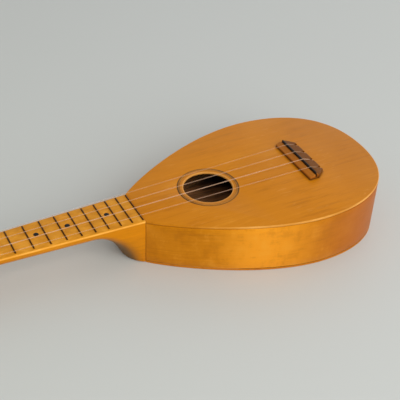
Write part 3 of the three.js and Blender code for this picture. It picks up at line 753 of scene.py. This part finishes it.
def settle(piece, name, node, finish, body="instrument", place=lie_down, smooth=35):
    take(piece)
    apply_place()
    bpy.ops.object.shade_smooth_by_angle(angle=math.radians(smooth))
    piece.data.transform(place)
    piece.name = piece.data.name = name
    if not piece.data.materials:
        piece.data.materials.append(finish)
    else:
        piece.data.materials[0] = finish
    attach(piece, body)
    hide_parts(node)
    corners = [piece.matrix_world @ Vector(corner) for corner in piece.bound_box]
    size = [max(c[axis] for c in corners) - min(c[axis] for c in corners) for axis in range(3)]
    faces = len(piece.data.polygons)
    print(name, "mm:", [round(length / mm, 1) for length in size], "faces:", faces)


print("pieces to replace:", len(frame["nodes"]) - len(inner_nodes))

# %% [markdown]
# ## The body's outline
#
# The body is a teardrop with no waist. Four smooth curves draw it: from each shoulder out to the
# widest place, and round the tail. The plates and both ribs follow this one outline, so their
# edges meet all the way round.


# %% The outline
def half_outline():
    """From shoulder to tail, with the curves' handles, which set how full each stretch is"""
    steps = 72
    shoulder_angle = math.radians(49)
    start = Vector((22.5, 0, 0)) * mm
    lean = Vector((math.cos(shoulder_angle), -math.sin(shoulder_angle), 0))
    widest = Vector((body_width / 2, -154 * mm, 0))
    tail = Vector((0, -body_length, 0))
    upper = interpolate_bezier(
        start, start + lean * 28 * mm, widest + Vector((0, 62 * mm, 0)), widest, steps)
    lower = interpolate_bezier(
        widest, widest - Vector((0, 36.5 * mm, 0)), tail + Vector((72 * mm, 0, 0)), tail, steps)
    return [(point.x, point.y) for point in upper + lower[1:]]


right_half = half_outline()
left_half = [(-x, y) for x, y in reversed(right_half)]
body_outline = right_half + left_half[1:]
print("outline:", len(body_outline), "points")

# %% [markdown]
# ## The soundboard
#
# The soundboard is a thin plate with the round soundhole sawn out of it. Its rim is rounded with
# sandpaper, and the rim's faces get a finish of the same wood of their own, painted paler towards
# the tail, partly as worn varnish and partly as a painted highlight on the rounding. A subdivided
# surface could be rounded as well, but it would bulge, and a pushed-out outline stays flat.


# %% Soundboard
def leave_bare(piece, test):
    """Gives the faces that look into the body the bare wood's finish"""
    piece.data.materials.append(inner_wood)
    for face in piece.data.polygons:
        if test(face):
            face.material_index = len(piece.data.materials) - 1


rounding, rim_width = 0.7 * mm, 1.7 * mm
well_past = 9 * mm
many_sides = 128
rim_places = [Vector(place) for place in body_outline]
hole_place = Vector((0, hole_y))


def on_rim(face):
    return min((face.center.to_2d() - place).length for place in rim_places) < rim_width


def on_hole_rim(face):
    near_hole = (face.center.to_2d() - hole_place).length < hole_radius + rounding
    return near_hole and face.normal.z < 0.98 and face.center.z > -1 * mm


soundboard = slab(body_outline, 0, plate_thickness)
cut(soundboard, rod(hole_radius, -well_past, well_past, many_sides, hole_place))
soften(soundboard, rounding, 4)
soundboard.data.materials.append(soundboard_wood)
soundboard.data.materials.append(edge_wood)
for face in soundboard.data.polygons:
    face.material_index = int(on_rim(face) or on_hole_rim(face))
leave_bare(soundboard, lambda face: face.normal.z < -0.9)
settle(soundboard, "soundboard_plate", "soundboard", soundboard_wood)

# %% [markdown]
# ## The ring round the soundhole
#
# A purfling ring of brown wood with a thin dark line at each edge is let into the soundboard. It
# is a low rod with its middle cut out, and its lines are painted by their distance from the
# centre. Where the ring crosses the grain, its end grain has taken up more of the stain.

# %% Ring
ring_inner, ring_outer = 26.6 * mm, 29.4 * mm
ring_depth, ring_stands = 0.8 * mm, 0.06 * mm
ring = rod(ring_outer, -ring_depth, ring_stands, many_sides, hole_place)
cut(ring, rod(ring_inner, -well_past, well_past, many_sides, hole_place))
ring_finish = Finish("ring_strands")
ring_place = ring_finish.place()
from_centre = ring_finish.measure("DISTANCE", ring_place, hole_centre)
strand_grain = ring_finish.noise(ring_place, 700.0, 3.0)
strand_light = ring_finish.between(strand_grain, 0.35, 0.65)
strand = ring_finish.blend(strand_light, paint("ac6c24"), paint("c4822c"))
outer_line = ring_finish.between(from_centre, 27.9 * mm, 28.4 * mm)
inner_line = ring_finish.between(from_centre, 27.4 * mm, 27.2 * mm)
along = ring_finish.axis(ring_finish.vector("SUBTRACT", ring_place, hole_centre), "Y")
end_grain = ring_finish.between(ring_finish.number("ABSOLUTE", along), 14 * mm, 26 * mm)
line_share = outer_line * 0.62 + inner_line * 0.3 + end_grain * 0.35
ring_finish.shade(
    Base_Color=ring_finish.blend(line_share, strand, paint("563610")),
    Specular_IOR_Level=0.25,
    Roughness=ring_finish.between(strand_grain, 0.3, 0.7, 0.42, 0.52),
    Specular_Tint=amber_gloss,
    Coat_Weight=0.04,
    Coat_Roughness=0.32,
    Normal=ring_finish.bump(strand_grain, 0.04 * mm, 0.4),
)
settle(ring, "purfling_ring", "rosette_ring", ring_finish.material)

# %% [markdown]
# ## The back
#
# The back is a second plate with the same outline. It is made level and then sheared along its
# length, because the ribs are deeper at the tail, and its inner face is left bare.

# %% Back
back = slab(body_outline, 0, plate_thickness)
soften(back, 0.3 * mm, 3)
back.data.materials.append(back_wood)
leave_bare(back, lambda face: face.normal.z > 0.9)
for vertex in back.data.vertices:
    vertex.co.z += body_taper * vertex.co.y - depth_at_neck + plate_thickness
settle(back, "back_plate", "back", back_wood)

# %% [markdown]
# ## The ribs
#
# Each rib is a strip of thin wood, bent over a hot iron to half of the outline. It is made here
# from a grid that follows the outline and is then given its thickness, so that its map runs along
# the wood and the grain bends with it. The map is scaled to metres, like everything else.


# %% Ribs
def make_rib(side):
    outline = [(max(x, seam / 2) * side, y) for x, y in right_half]
    lengths = [0.0]
    for (x0, y0), (x1, y1) in zip(outline, outline[1:]):
        lengths.append(lengths[-1] + math.hypot(x1 - x0, y1 - y0))
    rows = 6

    def point_at(column, row):
        x, y = outline[column]
        low = body_taper * y - depth_at_neck + plate_thickness + seam
        high = -plate_thickness - seam
        return (x, y, low + (high - low) * row / rows)

    rib = wrapped_grid(len(outline) - 1, rows, point_at, seam_closed=False)
    for loop in rib.data.loops:
        corner = rib.data.vertices[loop.vertex_index].co
        column = min(range(len(outline)), key=lambda i: math.dist(outline[i], corner[:2]))
        rib.data.uv_layers[0].data[loop.index].uv = (lengths[column] * side, corner.z)
    edit(rib)
    close_edit(outwards=True)
    middle = rib.data.polygons[len(rib.data.polygons) // 2]
    if middle.normal.x * side < 0:
        rib.data.flip_normals()
    return modify(rib, "SOLIDIFY", thickness=rib_thickness, offset=-1)


middle_of_body = Vector((0, -140 * mm, 0))
for side, word in ((-1, "left"), (1, "right")):
    rib = soften(make_rib(side), 0.3 * mm, 2)
    rib.data.materials.append(rib_wood)
    leave_bare(rib, lambda face: face.normal.xy.dot((face.center - middle_of_body).xy) < -5 * mm)
    settle(rib, f"rib_{word}", f"side_{word}", rib_wood)

# %% [markdown]
# ## The neck
#
# The neck, heel and head are carved from one piece. A grid is wrapped round the neck, one row for
# each place along it. Every row is a flat face, two straight cheeks and a round belly, and
# towards the body the cheeks and the belly sweep down in hollow curves that make the heel. The
# belly is round under the neck and closer to a wedge in the heel. It could be sculpted by hand,
# but a formula for each row keeps both cheeks alike.


# %% Neck and heel
def clamp(value):
    return min(max(value, 0), 1)


def hollow(high, low, share):
    bend = 0.6
    return low + (high - low) * (1 - clamp(share) ** bend) ** (1 / bend)


heel_depth = depth_at_neck - 1 * mm
heel_root, heel_reach = 2 * mm, 50 * mm
heel_end = heel_root + heel_reach
shaft_depth, depth_at_nut, cheek_depth = 14 * mm, 12.5 * mm, 2.5 * mm
squaring = 18 * mm
sweep_depth, sweep_reach = 122 * mm, 46 * mm
heel_rows, nut_rows = 36, 6
neck_stops = [0.08 * mm, heel_root]
for step in range(1, heel_rows + 1):
    neck_stops.append(heel_root + heel_reach * (step / heel_rows) ** 1.5)
for step in range(nut_rows + 1):
    neck_stops.append(nut_y - seam - squaring * (1 - step / nut_rows))
around, cheek_steps, face_steps = 40, 3, 4


def cheek_height(step, cheek):
    """The rows down a cheek start below the rounded edge, so that none runs into it"""
    first = 1.8 * mm
    return first + (cheek - first) * (step - 1) / (cheek_steps - 1) if step else 0


def neck_point(column, row):
    """The belly's power is 1 where round, less where it squares up, more in the heel's wedge"""
    y = neck_stops[row]
    half = neck_half(y)
    along_heel = (y - heel_root) / heel_reach
    cheek = hollow(heel_depth, cheek_depth, along_heel)
    depth = hollow(sweep_depth, shaft_depth, y / sweep_reach)
    if y > heel_end:
        depth += (depth_at_nut - shaft_depth) * (y - heel_end) / (nut_y - heel_end)
    square = clamp(1 - (nut_y - seam - y) / squaring)
    power = 2 / (2 + 3 * square ** 2 - 0.5 * (1 - clamp(along_heel)))
    if column < cheek_steps:
        return (half, y, -cheek_height(column, cheek))
    if column <= cheek_steps + around:
        turn = math.pi * (column - cheek_steps) / around
        across = math.copysign(abs(math.cos(turn)) ** power, math.cos(turn))
        return (half * across, y, -cheek - (depth - cheek) * abs(math.sin(turn)) ** power)
    past_cheeks = column - 2 * cheek_steps - around
    if past_cheeks <= 0:
        return (-half, y, -cheek_height(-past_cheeks, cheek))
    return (-half + 2 * half * past_cheeks / face_steps, y, 0)


neck = wrapped_grid(2 * cheek_steps + around + face_steps, len(neck_stops) - 1, neck_point)
edit(neck)
bpy.ops.mesh.bisect(
    plane_co=(0, 0, -heel_depth), plane_no=(0, 0, 1), use_fill=True, clear_inner=True)
close_edit()


def along_the_face(edge):
    ends = [neck.data.vertices[index].co for index in edge.vertices]
    on_rim = [abs(co.z) < 1e-6 and abs(abs(co.x) - neck_half(co.y)) < 1e-6 for co in ends]
    return all(on_rim) and abs(ends[0].y - ends[1].y) > 1e-5


edit(neck, "EDGE", along_the_face)
bpy.ops.mesh.bevel(offset=1.4 * mm, segments=4, affect="EDGES")
close_edit()
soften(neck, 0.3 * mm, 2, 50)
print("neck and heel:", len(neck_stops), "rows,", len(neck.data.polygons), "faces")

# %% [markdown]
# The head widens from the nut in a double curve and ends in a low point. It is a slab with
# rounded edges, joined to the neck, and four holes for the pegs are bored through it. The two
# could just touch, but real necks show no seam there, so they become one mesh.


# %% Head
def head_curve(*places):
    """Points of a smooth curve, from its ends and handles, each given across and past the nut"""
    ends = [Vector((x, nut_y + past_nut, 0)) for x, past_nut in places]
    return [(point.x, point.y) for point in interpolate_bezier(*ends, 20)]


half_nut, half_head, half_crown = width_at_nut / 2, 27 * mm, 25 * mm
head_half = head_curve(
    (half_nut, -2 * seam), (half_nut, 11 * mm), (half_head, 11 * mm), (half_head, 22 * mm))
head_half += head_curve(
    (half_crown, head_length - 20 * mm), (half_crown, head_length - 11 * mm),
    (14 * mm, head_length - 7 * mm), (0, head_length))
head_outline = head_half + [(-x, y) for x, y in reversed(head_half[:-1])]
head = slab(head_outline, -head_drop, head_thickness)
soften(head, 1 * mm, 4)
cut(neck, head, "UNION")
peg_play = 0.4 * mm
for peg_place in peg_places:
    cut(neck, rod(post_radius + peg_play, -40 * mm, 20 * mm, place=peg_place))
merge_close(neck)
settle(neck, "neck_and_head", "neck", neck_wood, smooth=30)

# %% [markdown]
# ## Frets and dots
#
# A fret is a half-round bar. One is made from a rod that is bisected along its middle, and the
# rest are copies of it, each with its own mesh that is drawn in to the neck's width at its place.
# A dot is a short rod, let into the face between two frets so that it stands only just proud. An
# array modifier can't space frets, because each gap is smaller than the last, so a loop places
# them by the rule that a luthier uses.

# %% Frets and dots
fret_end_gap = 2.4 * mm
fret_half = neck_half(0) - fret_end_gap
fret_radius, fret_height = 0.75 * mm, 1.1 * mm
first_fret = rod(fret_radius, -fret_half, fret_half, 24, axis="X")
edit(first_fret)
bpy.ops.mesh.bisect(plane_co=(0, 0, 0), plane_no=(0, 0, 1), use_fill=True, clear_inner=True)
close_edit()
for vertex in first_fret.data.vertices:
    vertex.co.z *= fret_height / fret_radius
merge_close(soften(first_fret, 0.25 * mm, 2, 60))
for number in range(1, 13):
    fret = first_fret.copy()
    fret.data = first_fret.data.copy()
    bpy.context.collection.objects.link(fret)
    shorter = neck_half(0) - neck_half(fret_y(number))
    for vertex in fret.data.vertices:
        vertex.co.x -= math.copysign(shorter, vertex.co.x)
        vertex.co.y += fret_y(number)
    settle(fret, f"fret_bar_{number:02d}", f"fret_{number:02d}", fret_metal)
bpy.data.objects.remove(first_fret)
dot_radius, dot_depth, dot_stands = 2.4 * mm, 1.2 * mm, 0.08 * mm
for number in (5, 7, 10):
    y = (fret_y(number) + fret_y(number - 1)) / 2
    dot = rod(dot_radius, -dot_depth, dot_stands, place=(dot_x, y))
    soften(dot, 0.06 * mm, 2)
    settle(dot, f"dot_{number:02d}", f"marker_{number:02d}", black_plastic)

# %% [markdown]
# ## The nut
#
# The nut is a small bar of bone at the end of the fingerboard, with a slot for each string. A
# slot is bored with a thin cylinder and opened upwards with a box, which leaves the round floor
# that a file leaves.

# %% Nut
slot_floor, nut_height, drill_length = 1.5 * mm, 2.6 * mm, 20 * mm
nut = box_between((-half_nut, nut_y, -head_drop), (half_nut, nut_y + nut_length, nut_height))
for index, diameter in enumerate(string_diameters):
    x = string_x(index, nut_spacing)
    half_slot = diameter / 2 + 0.1 * mm
    start_fresh()
    bpy.ops.mesh.primitive_cylinder_add(
        vertices=24, radius=half_slot, depth=drill_length, rotation=(math.pi / 2, 0, 0),
        location=(x, nut_y + nut_length / 2, slot_floor + half_slot))
    cut(nut, bpy.context.object)
    low = (x - half_slot, nut_y - well_past, slot_floor + half_slot)
    cut(nut, box_between(low, (x + half_slot, nut_y + well_past, well_past)))
merge_close(soften(nut, 0.25 * mm, 2, 50))
settle(nut, "bone_nut", "nut", bone)

# %% [markdown]
# ## The bridge and its saddle
#
# The bridge is a low bar of brown wood with its two rear corners cut off. Its front face rises in
# a slope to the saddle's slot, and behind the slot it falls away to a step with a notch and a
# small pocket for each string's knot. All of that is one profile, drawn at the bridge's end and
# pushed along it. The saddle is a black strip that stands in the slot and carries the strings. A
# stack of boxes could stand in for the bridge, but one solid bar has no seams and takes its bevel
# evenly.

# %% Bridge
bridge_width, bridge_height = 19.5 * mm, 4.7 * mm
bridge_front = saddle_y + 6.8 * mm
bridge_rear = bridge_front - bridge_width
slot_half, slot_bottom = 1 * mm, 1.8 * mm
profile = [
    (bridge_rear, 0), (bridge_front, 0), (bridge_front, 2.8 * mm),
    (bridge_front - 1.2 * mm, 3.4 * mm), (saddle_y + slot_half + 1.2 * mm, bridge_height),
    (saddle_y - slot_half - 3 * mm, bridge_height), (bridge_rear + 1.2 * mm, 4 * mm),
    (bridge_rear, 2.8 * mm),
]
bridge_half = 31.5 * mm
well_above = 20 * mm
bridge = prism([(-bridge_half, y, z) for y, z in profile], (2 * bridge_half, 0, 0))
for side in (-1, 1):
    corner = [
        (side * (bridge_half - 15 * mm), bridge_rear - 9 * mm),
        (side * (bridge_half + 7.5 * mm), bridge_rear - 9 * mm),
        (side * (bridge_half + 7.5 * mm), bridge_rear + 18 * mm),
    ]
    cut(bridge, slab(corner, well_above, well_above + 1 * mm))
soften(bridge, 0.5 * mm, 3, 20)
low = (-bridge_half * 2, saddle_y - slot_half, slot_bottom)
cut(bridge, box_between(low, (bridge_half * 2, saddle_y + slot_half, well_above)))
for index, diameter in enumerate(string_diameters):
    x = string_x(index, bridge_spacing)
    half_notch, half_pocket = diameter / 2 + 0.15 * mm, 1.9 * mm
    low = (x - half_notch, bridge_rear - 5 * mm, 1.6 * mm)
    cut(bridge, box_between(low, (x + half_notch, bridge_rear + 6.2 * mm, well_above)))
    low = (x - half_pocket, bridge_rear - 5 * mm, 1 * mm)
    cut(bridge, box_between(low, (x + half_pocket, bridge_rear + 3.1 * mm, well_above)))
settle(bridge, "bridge_bar", "bridge", bridge_wood, smooth=25)

# %% Saddle
saddle_foot, saddle_top = 1.9 * mm, 6.9 * mm
saddle_half, saddle_width = 30.5 * mm, 1.5 * mm
saddle = box_between(
    (-saddle_half, saddle_y - saddle_width / 2, saddle_foot),
    (saddle_half, saddle_y + saddle_width / 2, saddle_top))
soften(saddle, 0.45 * mm)
settle(saddle, "saddle_strip", "saddle", black_plastic)

# %% [markdown]
# ## Strings
#
# A string starts in a knot behind the bridge, climbs through its notch, bends over the saddle and
# the nut, and takes most of a turn round its peg's post. It is one tube that touches what carries
# it. The knot is a small overhand knot, drawn as a curve that crosses itself. A rod for each
# straight stretch would break at the bends, and a curve with a round bevel goes round them.


# %% Strings
def knot_points(centre, size):
    steps = 48
    turns = [2 * math.pi * step / steps for step in range(steps + 1)]
    return [centre + size * Vector((
        (math.sin(turn) + 2 * math.sin(2 * turn)) / 3,
        (math.cos(turn) - 2 * math.cos(2 * turn)) / 3,
        -math.sin(3 * turn) / 2,
    )) for turn in turns]


wrap_height = 2.2 * mm - head_drop
wrap_angle, wrap_steps = math.radians(285), 60
for index, name in enumerate(string_names):
    radius = string_diameters[index] / 2
    post = Vector(peg_places[index])
    hand = math.copysign(1, post.x)
    bridge_x, nut_x = string_x(index, bridge_spacing), string_x(index, nut_spacing)
    knot_centre = Vector((bridge_x, bridge_rear + 1.6 * mm, 2.4 * mm))
    points = [
        knot_centre,
        Vector((bridge_x, bridge_rear + 6.4 * mm, bridge_height + radius)),
        Vector((bridge_x, saddle_y, saddle_top + radius)),
        Vector((nut_x, nut_y, slot_floor + radius)),
        Vector((nut_x, nut_y + nut_length, slot_floor + radius)),
    ]
    reach = post_radius + 0.1 * mm + radius
    away = points[-1].to_2d() - post
    first_turn = math.atan2(away.y, away.x) - hand * math.acos(reach / away.length)
    for step in range(wrap_steps + 1):
        turn = first_turn - hand * wrap_angle * step / wrap_steps
        points.append(Vector((
            post.x + reach * math.cos(turn), post.y + reach * math.sin(turn), wrap_height)))
    knot = tube(knot_points(knot_centre, 0.85 * mm), min(radius, 0.38 * mm))
    string = join([tube(points, radius), knot])
    settle(string, f"nylon_{name}", f"string_{name}", nylons[index], smooth=60)

# %% [markdown]
# ## Tuning pegs
#
# Friction pegs are turned on a lathe and stay put by their taper alone. The profile is a chain of
# edges that is spun round the peg's axis. The thumb piece is an oval with dished faces, and a
# fine hole through the post takes the string's end. More turns of string ride on the peg above
# the first. A peg could be built from stacked cylinders, but a spun profile has the lathe's soft
# shoulders.


# %% Turning and thumb piece
def turned(profile):
    start_fresh()
    bpy.ops.mesh.primitive_circle_add(vertices=len(profile), radius=1, fill_type="NOTHING")
    piece = bpy.context.object
    for vertex, (radius, height) in zip(piece.data.vertices, profile):
        vertex.co = (radius, 0, height)
    ends = {0, len(profile) - 1}
    edit(piece, "EDGE", lambda edge: set(edge.vertices) == ends)
    bpy.ops.mesh.delete(type="EDGE")
    bpy.ops.mesh.select_all(action="SELECT")
    bpy.ops.mesh.spin(steps=48, angle=2 * math.pi, center=(0, 0, 0), axis=(0, 0, 1))
    bpy.ops.mesh.select_all(action="SELECT")
    bpy.ops.mesh.remove_doubles(threshold=same_point)
    close_edit(outwards=True)
    return piece


def thumb_piece(top):
    width, height, thickness = 17 * mm, 12 * mm, 6 * mm
    start_fresh()
    bpy.ops.mesh.primitive_cylinder_add(
        vertices=48, radius=width / 2, depth=thickness, rotation=(math.pi / 2, 0, 0),
        location=(0, 0, top - height / 2))
    piece = bpy.context.object
    piece.scale = (1, height / width, 1)
    apply_place()
    edit(piece, "FACE", lambda face: abs(face.normal.y) > 0.9)
    bpy.ops.mesh.inset(thickness=2.2 * mm, depth=0, use_individual=True)
    bpy.ops.mesh.inset(thickness=1.6 * mm, depth=-1.1 * mm, use_individual=True)
    close_edit()
    return soften(piece, 0.9 * mm, 3, 25)


post_top = head_thickness + 10 * mm
collar_low, thumb_top = -3.35 * mm, -4.85 * mm
peg_profile = [
    (0, -6.4 * mm), (3 * mm, -6.4 * mm), (3 * mm, -5.4 * mm), (4.4 * mm, -4.2 * mm),
    (5.4 * mm, collar_low), (6 * mm, -2.6 * mm), (6 * mm, -0.9 * mm), (5.6 * mm, -0.35 * mm),
    (post_radius, -0.35 * mm), (post_radius, post_top - 1.2 * mm),
    (post_radius - 0.35 * mm, post_top - 0.5 * mm), (post_radius - 1.1 * mm, post_top),
    (0, post_top),
]
print("a peg's profile:", len(peg_profile), "points, post", round(post_top / mm, 1), "mm tall")


# %% Pegs and the turns on them
def coil_points(reach, low, pitch, turns, hand):
    """A coil that climbs the post and ends at the hole on the post's X side"""
    steps = 48 * turns
    points = []
    for step in range(steps + 1):
        climbed = turns * step / steps
        turn = hand * 2 * math.pi * (turns - climbed)
        height = low + pitch * climbed
        points.append(Vector((reach * math.cos(turn), reach * math.sin(turn), height)))
    return points


for index, name in enumerate(string_names):
    diameter = string_diameters[index]
    foot = Matrix.Translation((*peg_places[index], -head_drop - head_thickness))
    stand = lie_down @ foot @ Matrix.Rotation(math.radians(peg_degrees[index]), 4, "Z")
    hand = math.copysign(1, peg_places[index][0])
    pitch = diameter + 0.5 * mm
    reach = post_radius + 0.02 * mm + diameter / 2
    coil = coil_points(reach, head_thickness + 2.2 * mm + pitch, pitch, 2, hand)
    start_back = (coil[0] - coil[1]).normalized() * diameter
    coil.insert(0, coil[0] + Vector((start_back.x, start_back.y, 0)))
    hole_height = coil[-1].z
    coil.append(Vector((post_radius - diameter, 0, hole_height)))
    turns = tube(coil, diameter / 2)
    settle(
        turns, f"turns_{name}", f"winding_{name}", nylons[index],
        body=f"tuner_{name}", place=stand, smooth=60)
    peg = turned(peg_profile)
    cut(peg, thumb_piece(thumb_top), "UNION")
    cut(peg, rod(diameter / 2 + 0.25 * mm, 0, 2 * post_radius, 24, (0, hole_height), axis="X"))
    merge_close(peg)
    settle(
        peg, f"tuner_peg_{name}", f"peg_{name}", peg_wood,
        body=f"tuner_{name}", place=stand)

# %% [markdown]
# ## Floor and light
#
# The photograph was taken on a pale grey sweep in a bright room, so its shadows are faint and
# wide. A wide floor stands in for the sweep. The world gives most of the light and is brighter
# low down, as a room with pale walls is. A large lamp on the near side lights the rib, a weak one
# behind the tail throws a faint shadow towards the viewer, and a weaker one hangs high above.

# %% Floor
start_fresh()
bpy.ops.mesh.primitive_circle_add(vertices=96, radius=6, fill_type="NGON")
floor = bpy.context.object
floor.name = "floor"
floor_finish = Finish("pale_grey_sweep")
floor_place = floor_finish.place()
to_head = floor_finish.between(floor_finish.axis(floor_place, "Y"), -0.3, 0.4)
fibre = floor_finish.noise(floor_place, 900.0, 2.0)
floor_finish.shade(
    Base_Color=floor_finish.blend(to_head, paint("cbcecb"), paint("cacdc8")),
    Roughness=floor_finish.between(fibre, 0.3, 0.7, 0.75, 0.85),
)
floor.data.materials.append(floor_finish.material)
print("floor:", round(floor.dimensions.x, 1), "m across")

# %% Light
world = bpy.data.worlds.new("studio")
bpy.context.scene.world = world
world.use_nodes = True
sky = world.node_tree.nodes["Background"]
room = Wiring(world.node_tree)
upwards = room.axis(room.add("ShaderNodeTexCoord"), "Z")
sky.inputs["Color"].default_value = (1.0, 1.0, 1.0, 1.0)
room.feed(sky.inputs["Strength"], room.between(upwards, 0, 1, 0.74, 0.3))


def lamp(name, place, target, size, power, color):
    data = bpy.data.lights.new(name, "AREA")
    data.shape = "RECTANGLE"
    data.size, data.size_y = size
    data.energy = power
    data.color = color
    item = bpy.data.objects.new(name, data)
    bpy.context.collection.objects.link(item)
    item.location = place
    item.rotation_euler = (Vector(target) - Vector(place)).to_track_quat("-Z", "Y").to_euler()


lamp("near_softbox", (-1.55, -0.25, 1.15), (0, -0.05, 0.03), (2.2, 1.6), 30, (1.0, 0.99, 0.97))
lamp("tail_softbox", (0.9, -1.4, 0.95), (0, -0.05, 0.03), (1.6, 1.4), 5, (1.0, 1.0, 1.0))
lamp("high_softbox", (-0.1, -0.3, 2.2), (0, -0.05, 0), (2.0, 2.0), 4, (0.98, 0.99, 1.0))

# %% [markdown]
# The dressed model has to stay inside the packed one's box.
